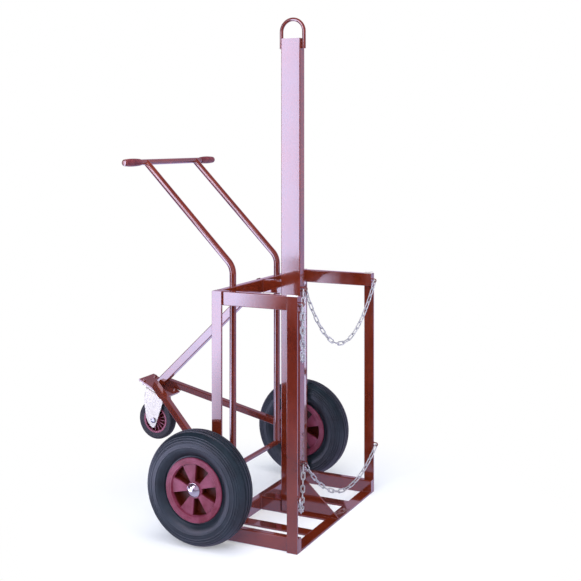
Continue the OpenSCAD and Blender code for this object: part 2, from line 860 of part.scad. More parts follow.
module chain_end_links() {
    for (flip = [0, 1]) mirror([flip, 0, 0]) upper(0, upper_links - 1, upper_links - 1);
    mirror([1, 0, 0]) lower(lower_left_links, 0, lower_left_links - 1, lower_left_links - 1);
    lower(lower_right_links, 0, lower_right_links - 1, lower_right_links - 1);
}

module upper_left_chain() mirror([1, 0, 0]) upper(1, upper_links - 2, 1);
module upper_right_chain() upper(1, upper_links - 2, 1);
module lower_left_chain() mirror([1, 0, 0]) lower(lower_left_links, 1, lower_left_links - 2, 1);
module lower_right_chain() lower(lower_right_links, 1, lower_right_links - 2, 1);

mast();
mast_cap();
lifting_eye();
mast_gusset();
front_left_post();
front_right_post();
rear_left_post();
rear_right_post();
post_caps();
left_top_rail();
right_top_rail();
rear_top_rail();
top_tie();
left_base_rail();
right_base_rail();
rear_base_rail();
rail_end_caps();
base_tie();
front_sill();
left_floor_bar();
centre_floor_bar();
right_floor_bar();
axle();
axle_collars();
axle_washers();
hub_caps();
left_handle_tube();
right_handle_tube();
handle_bar();
handle_grips();
handle_end_plugs();
left_castor_arm();
right_castor_arm();
castor_mount_plate();
castor_brace();
castor_top_plate();
castor_bolts();
castor_nuts();
castor_kingpin();
castor_dust_ring();
castor_swivel_balls();
mast_chain_eyes();
post_chain_eyes();
chain_end_links();
left_tyre();
left_wheel_centre();
left_wheel_bushes();
right_tyre();
right_wheel_centre();
right_wheel_bushes();
castor_fork();
castor_axle_bolt();
castor_axle_nut();
castor_tyre();
castor_wheel_centre();
castor_wheel_bush();
upper_left_chain();
upper_right_chain();
lower_left_chain();
lower_right_chain();
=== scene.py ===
import json
import math

import bmesh
import bpy
from mathutils import Matrix, Vector


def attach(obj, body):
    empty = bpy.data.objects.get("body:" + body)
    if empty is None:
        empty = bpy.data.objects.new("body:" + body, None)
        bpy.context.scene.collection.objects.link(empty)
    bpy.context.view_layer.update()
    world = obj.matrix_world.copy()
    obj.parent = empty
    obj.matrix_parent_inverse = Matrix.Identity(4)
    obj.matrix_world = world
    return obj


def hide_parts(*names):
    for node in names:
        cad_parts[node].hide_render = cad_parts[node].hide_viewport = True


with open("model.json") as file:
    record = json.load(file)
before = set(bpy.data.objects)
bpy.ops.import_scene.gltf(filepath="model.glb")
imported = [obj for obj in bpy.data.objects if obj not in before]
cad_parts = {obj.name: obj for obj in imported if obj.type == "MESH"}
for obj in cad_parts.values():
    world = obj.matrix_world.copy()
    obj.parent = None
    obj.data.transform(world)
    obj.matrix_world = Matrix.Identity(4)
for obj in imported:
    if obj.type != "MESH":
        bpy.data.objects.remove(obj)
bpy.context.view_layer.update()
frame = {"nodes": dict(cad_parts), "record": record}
nodes = frame["nodes"]
scene = bpy.context.scene
print("frame loaded:", len(nodes), "nodes")

# camera, from the straight edges of the posts and rails
cameraView = {
    "place": (-3.5396, -1.7231, 1.4159),
    "turnDeg": (90.0, 0.0, -63.92),
    "lensMm": 64.43,
    "sensorMm": 36.0,
    "shiftY": -0.262,
}
cameraData = bpy.data.cameras.new("camera")
cameraData.lens = cameraView["lensMm"]
cameraData.sensor_width = cameraView["sensorMm"]
cameraData.shift_y = cameraView["shiftY"]
camera = bpy.data.objects.new("camera", cameraData)
camera.location = cameraView["place"]
camera.rotation_euler = [math.radians(a) for a in cameraView["turnDeg"]]
scene.collection.objects.link(camera)
scene.camera = camera
scene.view_settings.view_transform = "Standard"
print("camera set")


def hexToLinear(code):
    parts = [int(code.lstrip("#")[i:i + 2], 16) / 255 for i in (0, 2, 4)]
    return tuple(p / 12.92 if p <= 0.04045 else ((p + 0.055) / 1.055) ** 2.4 for p in parts) + (1.0,)


def addNode(tree, kind, settings=None, inputs=None):
    # settings are the node's own options; an input takes a value, or the output socket that feeds it
    made = tree.nodes.new(kind)
    for key, value in (settings or {}).items():
        setattr(made, key, value)
    for key, value in (inputs or {}).items():
        if isinstance(value, bpy.types.NodeSocket):
            tree.links.new(value, made.inputs[key])
        else:
            made.inputs[key].default_value = value
    return made


def newMaterial(name):
    made = bpy.data.materials.new(name)
    made.use_nodes = True
    tree = made.node_tree
    return made, tree, tree.nodes["Principled BSDF"], tree.nodes.new("ShaderNodeTexCoord").outputs["Object"]


def perMm(mm):
    # how many pattern cells fit in a metre when one cell is this many millimetres
    return 1000.0 / mm


def addNoise(tree, place, mm, detail, rough=0.5):
    made = addNode(tree, "ShaderNodeTexNoise", None,
                   {"Vector": place, "Scale": perMm(mm), "Detail": detail, "Roughness": rough})
    return made.outputs["Fac"]


def addCells(tree, place, mm):
    return addNode(tree, "ShaderNodeTexVoronoi", None, {"Vector": place, "Scale": perMm(mm)})


def addBlend(tree, fine, share, broad):
    # this share of a fine pattern on top of a broad one
    made = addNode(tree, "ShaderNodeMath", {"operation": "MULTIPLY_ADD"}, {0: fine, 1: share, 2: broad})
    return made.outputs[0]


def addTone(tree, pattern, kind, low=0.0, high=1.0):
    # the finish's two shades, blended between these two levels of a pattern
    made = addNode(tree, "ShaderNodeValToRGB", None, {"Fac": pattern})
    ends = made.color_ramp.elements
    ends[0].position, ends[1].position = low, high
    ends[0].color, ends[1].color = hexToLinear(kind["shade"]), hexToLinear(kind["lit"])
    return made.outputs["Color"]


def addDulling(tree, shader, pattern, kind, less, more, low=0.0, high=1.0):
    # the finish's roughness, a little less or more from place to place
    made = addNode(tree, "ShaderNodeMapRange", None, {
        "Value": pattern, "From Min": low, "From Max": high,
        "To Min": kind["roughness"] - less, "To Max": kind["roughness"] + more})
    tree.links.new(made.outputs["Result"], shader.inputs["Roughness"])


def addBump(tree, shader, pattern, strength, deepMm):
    made = addNode(tree, "ShaderNodeBump", None,
                   {"Height": pattern, "Strength": strength, "Distance": deepMm * 0.001})
    tree.links.new(made.outputs["Normal"], shader.inputs["Normal"])
    return made.outputs["Normal"]


# gloss red-oxide enamel, sprayed on welded tube: a wet shine, faint orange peel, dust settled on it
enamel = {
    "shade": "#571b0c", "lit": "#722b17", "patchMm": 160, "peelMm": 5, "dustMm": 1.6,
    "roughness": 0.1, "coat": 1.0, "coatRoughness": 0.03, "ior": 1.62,
}


def makeEnamel():
    made, tree, shader, place = newMaterial("glossRedOxideEnamel")
    patches = addNoise(tree, place, enamel["patchMm"], 4.0, 0.55)
    specks = addNoise(tree, place, enamel["dustMm"], 2.0)
    tone = addTone(tree, addBlend(tree, specks, 0.35, patches), enamel, 0.45, 0.9)
    tree.links.new(tone, shader.inputs["Base Color"])
    addDulling(tree, shader, patches, enamel, 0.04, 0.05, 0.3, 0.7)
    peel = addNoise(tree, place, enamel["peelMm"], 1.0)
    tree.links.new(addBump(tree, shader, peel, 0.06, 0.4), shader.inputs["Coat Normal"])
    shader.inputs["IOR"].default_value = enamel["ior"]
    shader.inputs["Coat IOR"].default_value = enamel["ior"]
    shader.inputs["Coat Weight"].default_value = enamel["coat"]
    shader.inputs["Coat Roughness"].default_value = enamel["coatRoughness"]
    return made


# moulded nylon, coloured through: a satin skin with fine moulding grain; the dull dark brown deep in the
# pockets and near the castor centre's middle is painted shade
mouldedNylon = {
    # deep is the colour of the painted shade in the pockets; the ranges below set where it fades into the
    # tone
    "shade": "#6b2536", "lit": "#8a445c", "deep": "#451507", "cloudMm": 45, "grainMm": 1.2,
    "roughness": 0.34, "ior": 1.53, "specular": 0.3, "wheelMidM": 0.423,
    "pocketShadeFromM": 0.024, "pocketShadeToM": 0.033, "castorShadeFromM": 0.006, "castorShadeToM": 0.017,
}


def makeMouldedNylon():
    made, tree, shader, place = newMaterial("mouldedMaroonNylon")
    cloud = addNoise(tree, place, mouldedNylon["cloudMm"], 5.0)
    tone = addTone(tree, cloud, mouldedNylon, 0.35, 0.7)
    # painted shade: the pockets darken by their depth below the wheel's outer level, which is the same all
    # round the axle, and the castor centre darkens near its middle plane
    across = addNode(tree, "ShaderNodeSeparateXYZ", None, {"Vector": place})
    out = addNode(tree, "ShaderNodeMath", {"operation": "ABSOLUTE"}, {0: across.outputs["X"]})
    past = addNode(tree, "ShaderNodeMath", {"operation": "SUBTRACT"},
                   {0: out.outputs[0], 1: mouldedNylon["wheelMidM"]})
    level = addNode(tree, "ShaderNodeMath", {"operation": "ABSOLUTE"}, {0: past.outputs[0]})
    wheelShadeMask = addNode(tree, "ShaderNodeMapRange", None, {
        "Value": level.outputs[0],
        "From Min": mouldedNylon["pocketShadeFromM"], "From Max": mouldedNylon["pocketShadeToM"]})
    castorShadeMask = addNode(tree, "ShaderNodeMapRange", None, {
        "Value": out.outputs[0],
        "From Min": mouldedNylon["castorShadeFromM"], "From Max": mouldedNylon["castorShadeToM"]})
    shadeMask = addNode(tree, "ShaderNodeMath", {"operation": "MULTIPLY"},
                   {0: wheelShadeMask.outputs["Result"], 1: castorShadeMask.outputs["Result"]})
    # painted shade: the dark colour where the mask is low, and the moulded tone elsewhere
    toneAndShade = addNode(tree, "ShaderNodeMix", {"data_type": "RGBA"}, {
        "Factor": shadeMask.outputs[0], "A": hexToLinear(mouldedNylon["deep"]), "B": tone})
    tree.links.new(toneAndShade.outputs["Result"], shader.inputs["Base Color"])
    addBump(tree, shader, addCells(tree, place, mouldedNylon["grainMm"]).outputs["Distance"], 0.12, 0.2)
    addDulling(tree, shader, cloud, mouldedNylon, 0.06, 0.08)
    shader.inputs["IOR"].default_value = mouldedNylon["ior"]
    shader.inputs["Specular IOR Level"].default_value = mouldedNylon["specular"]
    return made


# soft PVC, dip moulded on the bar ends: a slightly oily shine over a clouded colour
gripPvc = {
    "shade": "#5c1f22", "lit": "#7a3436", "cloudMm": 18, "grainMm": 2.5, "roughness": 0.3, "ior": 1.53,
}


def makeGripPvc():
    made, tree, shader, place = newMaterial("dipMouldedPvc")
    cloud = addNoise(tree, place, gripPvc["cloudMm"], 5.0)
    tree.links.new(addTone(tree, cloud, gripPvc, 0.35, 0.7), shader.inputs["Base Color"])
    addBump(tree, shader, addNoise(tree, place, gripPvc["grainMm"], 2.0), 0.1, 0.3)
    addDulling(tree, shader, cloud, gripPvc, 0.06, 0.1)
    shader.inputs["IOR"].default_value = gripPvc["ior"]
    return made


# vulcanised rubber with carbon black: a satin tyre, a matt castor, blue-grey bloom and scuffed dust
tyreRubber = {"shade": "#0e171d", "lit": "#1d2b34", "bloomMm": 60, "scuffMm": 3, "roughness": 0.4}
castorRubber = {"shade": "#080a0d", "lit": "#14181d", "bloomMm": 35, "scuffMm": 2, "roughness": 0.6}
rubberIor = 1.52


def makeRubber(name, kind):
    made, tree, shader, place = newMaterial(name)
    bloom = addNoise(tree, place, kind["bloomMm"], 8.0, 0.65)
    scuff = addNoise(tree, place, kind["scuffMm"], 3.0)
    tone = addTone(tree, addBlend(tree, scuff, 0.3, bloom), kind, 0.42, 0.88)
    tree.links.new(tone, shader.inputs["Base Color"])
    addBump(tree, shader, scuff, 0.25, 0.4)
    addDulling(tree, shader, bloom, kind, 0.08, 0.12)
    shader.inputs["IOR"].default_value = rubberIor
    return made


# zinc: a silver skin with soft crystal patches; a pale oxide bloom dulls the chain and the pressings
zincChain = {"shade": "#b2b6b8", "lit": "#e4e6e7", "crystalMm": 4, "roughness": 0.4, "metal": 0.6}
zincPress = {"shade": "#a9a999", "lit": "#c5c5b7", "crystalMm": 22, "roughness": 0.5, "metal": 0.85}
zincBolt = {"shade": "#777a7e", "lit": "#a6a9ad", "crystalMm": 6, "roughness": 0.28, "metal": 1.0}


def makeZinc(name, kind):
    made, tree, shader, place = newMaterial(name)
    crystal = addCells(tree, place, kind["crystalMm"]).outputs["Color"]
    haze = addNoise(tree, place, kind["crystalMm"] * 3, 6.0)
    tone = addTone(tree, addBlend(tree, crystal, 0.35, haze), kind, 0.4, 0.95)
    tree.links.new(tone, shader.inputs["Base Color"])
    addDulling(tree, shader, haze, kind, 0.08, 0.12)
    addBump(tree, shader, haze, 0.1, 0.3)
    shader.inputs["Metallic"].default_value = kind["metal"]
    return made


# chrome on a pressed cap: a clean mirror with faint polishing haze
chromePlate = {"shade": "#cfd0d2", "lit": "#f0f0ef", "hazeMm": 12, "roughness": 0.14}


def makeChrome():
    made, tree, shader, place = newMaterial("chromePlate")
    haze = addNoise(tree, place, chromePlate["hazeMm"], 5.0)
    tree.links.new(addTone(tree, haze, chromePlate), shader.inputs["Base Color"])
    addDulling(tree, shader, haze, chromePlate, 0.04, 0.08)
    shader.inputs["Metallic"].default_value = 1.0
    return made


# natural nylon, in bushes and post caps: milky and a little waxy
naturalNylon = {"shade": "#dedbd2", "lit": "#f3f1ec", "cloudMm": 9, "roughness": 0.45}


def makeNaturalNylon():
    made, tree, shader, place = newMaterial("naturalNylon")
    cloud = addNoise(tree, place, naturalNylon["cloudMm"], 4.0)
    tree.links.new(addTone(tree, cloud, naturalNylon), shader.inputs["Base Color"])
    addBump(tree, shader, cloud, 0.1, 0.2)
    shader.inputs["Roughness"].default_value = naturalNylon["roughness"]
    return made


finishes = {
    "red_oxide_paint": makeEnamel(),
    "moulded_centre": makeMouldedNylon(),
    "tyre_rubber": makeRubber("ribbedTyreRubber", tyreRubber),
    "castor_rubber": makeRubber("smoothCastorRubber", castorRubber),
    "chain_zinc": makeZinc("brightZincChain", zincChain),
    "castor_zinc": makeZinc("brightZincPressing", zincPress),
    "bright_steel": makeZinc("zincPlatedFasteners", zincBolt),
    "chrome": makeChrome(),
    "nylon": makeNaturalNylon(),
    "grip_plastic": makeGripPvc(),
}
for part in frame["record"]["subparts"]:
    mesh = nodes[part["node"]].data
    mesh.materials.clear()
    mesh.materials.append(finishes[part["material_slot"]])
print("finishes set:", len(finishes))


# shared mesh helpers; lengths in millimetres until a piece is made
quarterY = Matrix.Rotation(math.pi / 2, 4, "Y")
halfX = Matrix.Rotation(math.pi, 4, "X")


def mmPoint(x, y, z):
    return Vector((x, y, z)) * 0.001


def mmMove(x, y, z):
    return Matrix.Translation(mmPoint(x, y, z))


def roundPoint(r, a, u):
    # a point at this radius and angle round the Z axis, and this far along it
    return mmPoint(r * math.cos(a), r * math.sin(a), u)


def addPiece(name, build, slotName, bodyName, *stoodFor, sharpDeg=38):
    bmesh.ops.remove_doubles(build, verts=build.verts, dist=0.00001)
    bmesh.ops.recalc_face_normals(build, faces=build.faces)
    mesh = bpy.data.meshes.new(name)
    build.to_mesh(mesh)
    build.free()
    mesh.shade_smooth()
    mesh.set_sharp_from_angle(angle=math.radians(sharpDeg))
    mesh.materials.append(finishes[slotName])
    piece = bpy.data.objects.new(name, mesh)
    scene.collection.objects.link(piece)
    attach(piece, bodyName)
    if stoodFor:
        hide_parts(*stoodFor)
    return piece


def easeCorners(points, radius, steps=4):
    # rounds every corner of a closed outline; radius is one value, or one for each corner
    out = []
    for i, point in enumerate(points):
        bend = radius[i] if isinstance(radius, (list, tuple)) else radius
        here = Vector(point)
        before, after = Vector(points[i - 1]) - here, Vector(points[(i + 1) % len(points)]) - here
        if bend <= 0 or before.length < 1e-6 or after.length < 1e-6:
            out.append(tuple(here))
            continue
        reach = min(bend / math.tan(before.angle(after) / 2), before.length * 0.48, after.length * 0.48)
        start, end = here + before.normalized() * reach, here + after.normalized() * reach
        for k in range(steps + 1):
            t = k / steps
            out.append(tuple((1 - t) ** 2 * start + 2 * t * (1 - t) * here + t * t * end))
    return out


def lathe(build, outline, place, steps=96):
    # turns a closed outline of (radius, along) round the place's own Z axis
    rings = []
    for i in range(steps):
        a = 2 * math.pi * i / steps
        rings.append([build.verts.new(place @ roundPoint(r, a, u)) for r, u in outline])
    for i in range(steps):
        here, there = rings[i], rings[(i + 1) % steps]
        for j in range(len(outline)):
            k = (j + 1) % len(outline)
            corners = [here[j], there[j], there[k], here[k]]
            if outline[j][0] < 1e-6:
                corners.pop(1)
            elif outline[k][0] < 1e-6:
                corners.pop(2)
            if outline[j][0] > 1e-6 or outline[k][0] > 1e-6:
                build.faces.new(corners)


def sweep(build, path, radii, sides=10, closed=False):
    # a round rod along a path of points in millimetres, with its own radius at each point
    count = len(path)
    points = [Vector(p) for p in path]
    flow = [(points[(i + 1) % count] - points[i - 1]).normalized() if closed or 0 < i < count - 1
            else ((points[1] - points[0]) if i == 0 else (points[-1] - points[-2])).normalized()
            for i in range(count)]
    side = flow[0].orthogonal().normalized()
    rings = []
    for i in range(count):
        side = (side - flow[i] * side.dot(flow[i])).normalized()
        across = flow[i].cross(side)
        ring = []
        for k in range(sides):
            a = 2 * math.pi * k / sides
            out = side * math.cos(a) + across * math.sin(a)
            ring.append(build.verts.new((points[i] + out * radii[i]) * 0.001))
        rings.append(ring)
    shift = 0
    if closed:  # the ring that comes back round may be turned against the first one
        shift = min(range(sides), key=lambda s: (rings[-1][0].co - rings[0][s].co).length)
    for i in range(count if closed else count - 1):
        here, there = rings[i], rings[(i + 1) % count]
        turn = shift if closed and i == count - 1 else 0
        for k in range(sides):
            build.faces.new((here[k], here[(k + 1) % sides],
                             there[(k + 1 + turn) % sides], there[(k + turn) % sides]))
    if not closed:
        build.faces.new(rings[0])
        build.faces.new(list(reversed(rings[-1])))


# large wheels: ribbed cushion tyre, moulded centre with five pockets, domed hub cap
wheels = {
    "x": 423, "axleY": 156, "axleZ": 200, "sides": {"left": -1, "right": 1},
    "outerR": 200, "halfW": 53, "bulge": 2.35, "shoulderR": 190,
    "beadR": 113.2, "beadU": 35.6, "beadDeg": 45, "beadGap": 4.2, "beadDeep": 2.8,
    "treadGrooves": (-22.5, -7.5, 7.5, 22.5),
    "grooveW": 5.0, "grooveDeep": 6.0, "grooveLip": 0.8, "grooveSoft": 1.2,
    "sideRidges": (150, 166, 174, 181, 187), "ridgeH": 1.7, "ridgeW": 1.5, "ridgeOver": 0.6,
    "pockets": 5, "pocketDeg": 36, "pocketStartDeg": -32, "pocketIn": 30, "pocketOut": 88,
    "faceU": 34, "hubU": 35, "rimU": 42, "floorU": 4, "flangeR": 113, "seatR": 101.5, "boreR": 14.2,
    "hubR": 27.4, "hubDrop": 0.9, "rimRollR": 110.6, "rimRoll": 3.2,
    # the rim's steps: from this radius on, how far below its top
    "rimSteps": [(90.2, 2.2), (91, 0.8), (97.2, 0.0)],
    "capX": 463.6, "capR": 25, "capRise": 12, "capEdge": 1.6,
    # the cap's rolled skirt and its back: radius, and how far out from its foot
    "capSkirt": [(24.2, 0.9), (24.9, 0.7), (25, 0.3), (24.6, 0), (11, 0), (10.1, 0.2), (10.1, 6), (0, 6)],
}


def axleFrame(side):
    middle = mmMove(wheels["x"], wheels["axleY"], wheels["axleZ"])
    return Matrix.Diagonal((side, 1, 1, 1)) @ middle @ quarterY


def tyreOutline():
    middle = (wheels["outerR"] + wheels["beadR"]) / 2
    tall = (wheels["outerR"] - wheels["beadR"]) / 2
    power = 2 / wheels["bulge"]
    bead, foot = wheels["beadR"], wheels["beadU"]
    trough = foot - wheels["beadDeep"]
    lip = bead + wheels["beadGap"]
    # a foot on the rim, a groove round it, and a soft lip up to the side wall
    line = [(wheels["seatR"] + 0.15, foot), (bead, foot), (bead + 0.3, trough), (lip, trough),
            (lip + 2, foot - 0.2), (lip + 3.6, foot + 2.4)]
    otherBead = [(r, -u) for r, u in reversed(line)]
    steps, low = 300, wheels["beadDeg"]
    for i in range(steps + 1):
        a = math.radians(-low + (180 + 2 * low) * i / steps)  # from one bead over the tread to the other
        r = middle + tall * math.copysign(abs(math.sin(a)) ** power, math.sin(a))
        u = wheels["halfW"] * math.copysign(abs(math.cos(a)) ** power, math.cos(a))
        if r < wheels["shoulderR"]:
            lift = sum(wheels["ridgeH"] * math.exp(-((r - ridge) / wheels["ridgeW"]) ** 2)
                       for ridge in wheels["sideRidges"])
            u += math.copysign(min(lift, wheels["halfW"] + wheels["ridgeOver"] - abs(u)), u)
        else:
            for groove in wheels["treadGrooves"]:
                inside = wheels["grooveW"] / 2 + wheels["grooveLip"] - abs(u - groove)
                r -= wheels["grooveDeep"] * max(0.0, min(1.0, inside / wheels["grooveSoft"]))
        line.append((max(r, wheels["beadR"]), u))
    return line + otherBead


def wheelCentre(build, place):
    half, gap = wheels["pocketDeg"], 360 / wheels["pockets"]
    turns = []
    for i in range(wheels["pockets"]):
        start = wheels["pocketStartDeg"] + i * gap
        turns += [start + d for d in (-0.9, -0.2, 0.6, 1.4)]
        turns += [start + half * k / 6 for k in (1, 2, 3, 4, 5)]
        turns += [start + half + d for d in (-1.4, -0.6, 0.2, 0.9)]
        turns += [start + half + (gap - half) * k / 5 for k in (1, 2, 3, 4)]
    outer, inner = wheels["pocketOut"], wheels["pocketIn"]
    # rings stand close together at every edge, which keeps it crisp
    radii = [wheels["boreR"], 20, wheels["hubR"] - 1, wheels["hubR"], wheels["hubR"] + 0.8]
    radii += [inner - 0.9, inner - 0.2, inner + 0.5, inner + 1.4, 40, 50, 60, 70, 80]
    radii += [outer - 1.4, outer - 0.5, outer + 0.2, outer + 0.9, 90, 90.6, 91.8, 97, 97.8, 98.6]
    radii += [108, wheels["rimRollR"], 112.2, wheels["flangeR"]]

    def step(value, low, high):
        return max(0.0, min(1.0, (value - low) / (high - low)))

    def height(r, deg):
        if r <= wheels["hubR"]:
            u = wheels["hubU"] - wheels["hubDrop"] * step(r, wheels["hubR"] - 1, wheels["hubR"])
        elif r < wheels["rimSteps"][0][0]:
            u = wheels["faceU"]
        else:
            u = wheels["rimU"] - [drop for start, drop in wheels["rimSteps"] if r >= start][-1]
            u -= wheels["rimRoll"] * step(r, wheels["rimRollR"], wheels["flangeR"]) ** 2
        local = (deg - wheels["pocketStartDeg"]) % gap
        across = min(local, half - local) if local < half else -min(local - half, gap - local)
        inside = min(step(across, -0.3, 0.7), step(r, inner - 0.3, inner + 0.6), step(outer - r, -0.3, 0.6))
        return u - (wheels["faceU"] - wheels["floorU"]) * inside

    def addRing(r, levels):
        return [build.verts.new(place @ roundPoint(r, math.radians(d), u)) for d, u in zip(turns, levels)]

    for way in (1, -1):
        rings = []
        for r in radii:
            rings.append(addRing(r, [way * height(r, d) for d in turns]))
        edge = [(wheels["flangeR"], 37.5), (111.5, 36), (wheels["seatR"], 36), (wheels["seatR"], 0)]
        for r, u in edge:
            rings.append(addRing(r, [way * u] * len(turns)))
        rings.insert(0, addRing(wheels["boreR"], [0] * len(turns)))
        for here, there in zip(rings, rings[1:]):
            for k in range(len(turns)):
                n = (k + 1) % len(turns)
                build.faces.new((here[k], here[n], there[n], there[k]))


def hubCap(build, place):
    # a pressed dome on a short rolled skirt
    ball = (wheels["capR"] ** 2 + wheels["capRise"] ** 2) / (2 * wheels["capRise"])
    out = wheels["capX"] - wheels["x"]
    line, steps = [(0, out + wheels["capRise"])], 14
    for i in range(1, steps + 1):
        r = (wheels["capR"] - wheels["capEdge"]) * i / steps
        line.append((r, out + wheels["capRise"] - ball + math.sqrt(ball * ball - r * r)))
    line += [(r, out + u) for r, u in wheels["capSkirt"]]
    lathe(build, line, place, 64)


for sideName, side in wheels["sides"].items():
    body = sideName + "_wheel"
    build = bmesh.new()
    lathe(build, tyreOutline(), axleFrame(side), 144)
    addPiece(sideName + "TyreRibbed", build, "tyre_rubber", body, sideName + "_tyre", sharpDeg=50)
    build = bmesh.new()
    wheelCentre(build, axleFrame(side))
    addPiece(sideName + "CentreMoulded", build, "moulded_centre", body, body + "_centre")
build = bmesh.new()
for side in wheels["sides"].values():
    hubCap(build, axleFrame(side))
addPiece("hubCapDomes", build, "chrome", "frame", "hub_caps")
print("wheels made")

# handle grips: moulded sleeves that swell in the middle, and a painted plug in each end of the bar
grips = {
    "y": 541.5, "z": 1324, "barHalf": 323, "length": 100, "innerR": 11.05, "endR": 12.7, "midR": 15.1,
    "ringMm": 9.5, "ringDeep": 0.25,
    # the plug's outline: radius, and how far past the bar's end
    "plug": [(0, 2.8), (6, 2.9), (9.6, 2.5), (11.2, 1.9), (12.0, 1.0), (12.1, 0.4), (11.8, 0), (8.9, 0),
             (8.9, -12), (0, -12)],
}


def gripFrame(side):
    return Matrix.Diagonal((side, 1, 1, 1)) @ mmMove(0, grips["y"], grips["z"]) @ quarterY


sleeves, plugs = bmesh.new(), bmesh.new()
for side in wheels["sides"].values():
    inner, steps = grips["barHalf"] - grips["length"], 120
    line = [(grips["innerR"], inner + 0.4), (grips["endR"] - 0.9, inner)]
    for i in range(steps + 1):
        t = i / steps
        u = inner + 0.6 + (grips["length"] - 1.2) * t
        r = grips["midR"] - (grips["midR"] - grips["endR"]) * (2 * t - 1) ** 2
        ring = max(0.0, math.cos(2 * math.pi * (u - inner) / grips["ringMm"]) - 0.6) / 0.4
        line.append((r - (grips["ringDeep"] * ring if 0.12 < t < 0.88 else 0), u))
    line += [(grips["endR"] - 0.9, grips["barHalf"]), (grips["innerR"], grips["barHalf"] - 0.4)]
    lathe(sleeves, line, gripFrame(side), 48)
    lathe(plugs, [(r, grips["barHalf"] + u) for r, u in grips["plug"]], gripFrame(side), 48)
addPiece("gripSleeves", sleeves, "grip_plastic", "frame", "handle_grips")
addPiece("barEndPlugs", plugs, "red_oxide_paint", "frame", "handle_end_plugs")
print("grips made")

# chains: links bent from wire and butt welded, every second one turned on edge
chains = {
    "wire": 4.5, "innerW": 8.0, "pitch": 28.8, "play": 0.5, "eyeWire": 4.5, "eyeHalf": 6,
    "mastEyeX": 9, "frontY": -190, "mastY": -40, "off": 9, "weldSwell": 0.2, "weldMm": 3.2,
    "hung": [  # level, side, eye across from the mast, eye height, links
        ("upper", "left", 335.5, 848, 21), ("upper", "right", 335.5, 848, 21),
        ("lower", "left", 352, 190, 15), ("lower", "right", 352, 190, 17),
    ],
}


def chainJoints(span, links):
    # the joints lie on the parabola that the chain's length gives it
    hang = (chains["eyeWire"] + chains["play"]) / 2
    length = links * chains["pitch"]

    def solve(test, low, high):
        for _ in range(60):
            middle = (low + high) / 2
            low, high = (middle, high) if test(middle) else (low, middle)
        return low

    def curveLength(wide, sag):
        bend = wide * wide / (8 * sag) * math.asinh(4 * sag / wide)
        return math.sqrt(wide * wide + 16 * sag * sag) / 2 + bend

    slope = math.atan(4 * solve(lambda s: curveLength(span, s) < length, 1, 600) / span)
    wide = span + 2 * hang * math.cos(slope)
    sag = solve(lambda s: curveLength(wide, s) < length, 1, 600)
    a = 4 * sag / wide ** 2

    def runTo(x):
        return x * math.sqrt(1 + (2 * a * x) ** 2) / 2 + math.asinh(2 * a * x) / (4 * a)

    out = []
    for i in range(links + 1):
        fromMid = i * chains["pitch"] - length / 2
        x = math.copysign(solve(lambda v: runTo(v) < abs(fromMid), 0, 400), fromMid)
        out.append((x, hang * math.sin(slope) - sag + a * x * x))
    return out


def chainLink(build, place):
    bar = (chains["pitch"] + chains["play"]) / 2 - chains["innerW"] / 2
    end = chains["innerW"] / 2 + chains["wire"] / 2
    steps = 10
    path = [(-bar + 2 * bar * k / steps, -end) for k in range(steps)]
    for k in range(steps):
        a = math.pi * k / steps
        path.append((bar + end * math.sin(a), -end * math.cos(a)))
    path += [(-x, -y) for x, y in path]
    radii = []
    for x, y in path:
        swell = chains["weldSwell"] * math.exp(-(x / chains["weldMm"]) ** 2) if y < -end + 0.1 else 0
        radii.append(chains["wire"] / 2 + swell)
    spots = [tuple((place @ mmPoint(x, y, 0)) * 1000) for x, y in path]
    sweep(build, spots, radii, 10, closed=True)


ends = bmesh.new()
for level, sideName, eyeX, eyeZ, links in chains["hung"]:
    out, ahead = eyeX - chains["mastEyeX"], chains["frontY"] - chains["mastY"]
    middle = mmMove((eyeX + chains["mastEyeX"]) / 2,
                    (chains["frontY"] + chains["mastY"]) / 2 - chains["off"], eyeZ - chains["eyeHalf"])
    flip = Matrix.Diagonal((wheels["sides"][sideName], 1, 1, 1))
    base = flip @ middle @ Matrix.Rotation(math.atan2(ahead, out), 4, "Z")
    joints = chainJoints(math.hypot(out, ahead), links)
    build = bmesh.new()
    for i in range(links):
        (x0, z0), (x1, z1) = joints[i], joints[i + 1]
        tilt = Matrix.Rotation(-math.atan2(z1 - z0, x1 - x0), 4, "Y")
        onEdge = Matrix.Rotation(math.pi / 2 * (i % 2 == 0), 4, "X")
        place = base @ mmMove((x0 + x1) / 2, 0, (z0 + z1) / 2) @ tilt @ onEdge
        chainLink(ends if i in (0, links - 1) else build, place)
    node = level + "_" + sideName + "_chain"
    addPiece(level + sideName.capitalize() + "ChainLinks", build, "chain_zinc", node, node)
addPiece("chainEndLinks", ends, "chain_zinc", "frame", "chain_end_links")
print("chains made")

# rear castor: pressed fork, rubber tread, painted bolts through the plate, plated nuts and axle bolt
castor = {
    "tiltDeg": 25.2, "run": 493, "headZ": 4.1, "trail": 50, "drop": 120, "steel": 4, "crownZ": -14.12,
    "halfW": 32, "bendR": 10, "edge": 0.8, "forkOut": 32, "plateT": 6,
    "boltX": 40, "boltY": 52.5, "boltR": 4, "boltTail": 1.6, "headR": 7.36, "headT": 5.5, "nutT": 6.5,
    "axleR": 6, "axlePast": 0.1, "axleTail": 3.1, "axleHeadR": 11.04, "axleNutT": 8.5, "play": 0.06,
    # the fork's edges: height, and how far back
    "front": [(-14.12, -34), (-24, -49), (-34.1, -57), (-60, -60.5), (-100, -64), (-128, -66.5), (-141, -66),
              (-148.6, -61)],
    "back": [(-14.12, 38), (-30, 36.4), (-54, 28.5), (-76.1, 20), (-104, 1), (-128, -15), (-140, -30),
             (-148.6, -50)],
    # one half of the tread's outline: radius and place along the axle, with the radius of each corner
    "tread": [(53.1, -18), (60, -18.6), (66, -19.6), (73, -20), (80, -11)], "treadEase": [0, 3, 3, 7, 9],
}
